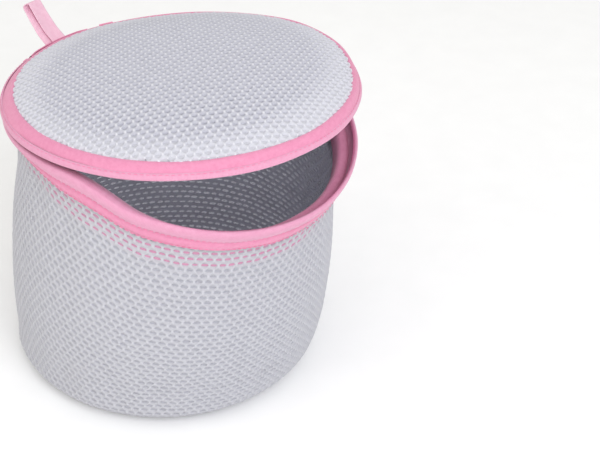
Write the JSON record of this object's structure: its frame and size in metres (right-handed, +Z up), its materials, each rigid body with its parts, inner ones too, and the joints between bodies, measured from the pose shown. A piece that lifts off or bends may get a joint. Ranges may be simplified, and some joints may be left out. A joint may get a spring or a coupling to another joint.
{
  "type": "mesh laundry bag",
  "caption": "Round padded-mesh wash bag for delicates, with a domed lid that zips round a taped rim and a ribbon loop for hanging.",
  "frame": {"origin": "middle of the base, on the floor", "axes": "+Z up; the lid's fabric hinge and the hanging loop are at +Y, and the mouth opens towards -Y"},
  "size_m": [0.1994, 0.2243, 0.1922],
  "materials": {
    "net_wall": "matt white padded net",
    "net_lid": "matt off-white padded net",
    "lining": "fine white knitted mesh",
    "binding": "pink woven binding",
    "zip_tape": "light pink woven zip tape",
    "zip_coil": "pink nylon coil",
    "slider": "pink lacquered metal",
    "boning": "white plastic hoop",
    "ribbon": "pale pink satin ribbon"
  },
  "bodies": {
    "bag": {"base_panel": "net_wall", "base_seam_binding": "binding", "base_boning_ring": "boning", "side_wall": "net_wall", "wall_seam_tape": "binding", "rim_binding_rear": "binding", "zip_tape_lower_rear": "zip_tape", "zip_coil_lower_rear": "zip_coil", "hinge_tape_lower": "binding", "zip_end_tabs": "binding"},
    "mouth": {"rim_binding_front": "binding", "zip_tape_lower_front": "zip_tape", "zip_coil_lower_front": "zip_coil"},
    "lid": {"lid_panel": "net_lid", "lid_lining": "lining", "lid_binding": "binding", "lid_boning_ring": "boning", "zip_tape_upper": "zip_tape", "zip_coil_upper": "zip_coil", "zip_end_covers": "binding", "hinge_tape_upper": "binding"},
    "slider": {"zip_slider": "slider"},
    "pull": {"pull_tab": "slider"},
    "loop": {"hanging_loop": "ribbon"}
  },
  "joints": [
    {"name": "lid_hinge", "type": "hinge", "parent": "bag", "child": "lid", "pos_m": [0, 0.1012, 0.164], "axis": [1, 0, 0], "range_deg": [-105, 1.8]},
    {"name": "mouth_lift", "type": "hinge", "parent": "bag", "child": "mouth", "pos_m": [0, 0, 0.1475], "axis": [-1, 0, 0], "range_deg": [0, 19.5]},
    {"name": "zip_slide", "type": "hinge", "parent": "bag", "child": "slider", "pos_m": [0, 0, 0.164], "axis": [0, 0, -1], "range_deg": [0, 315]},
    {"name": "pull_swing", "type": "hinge", "parent": "slider", "child": "pull", "pos_m": [0.03953, 0.09544, 0.1646], "axis": [0.9239, -0.3827, 0], "range_deg": [0, 150]},
    {"name": "loop_swing", "type": "hinge", "parent": "lid", "child": "loop", "pos_m": [0, 0.10412, 0.16791], "axis": [-1, 0, 0], "range_deg": [-30, 25], "stiffness_Nm_per_rad": 0.003}
  ]
}
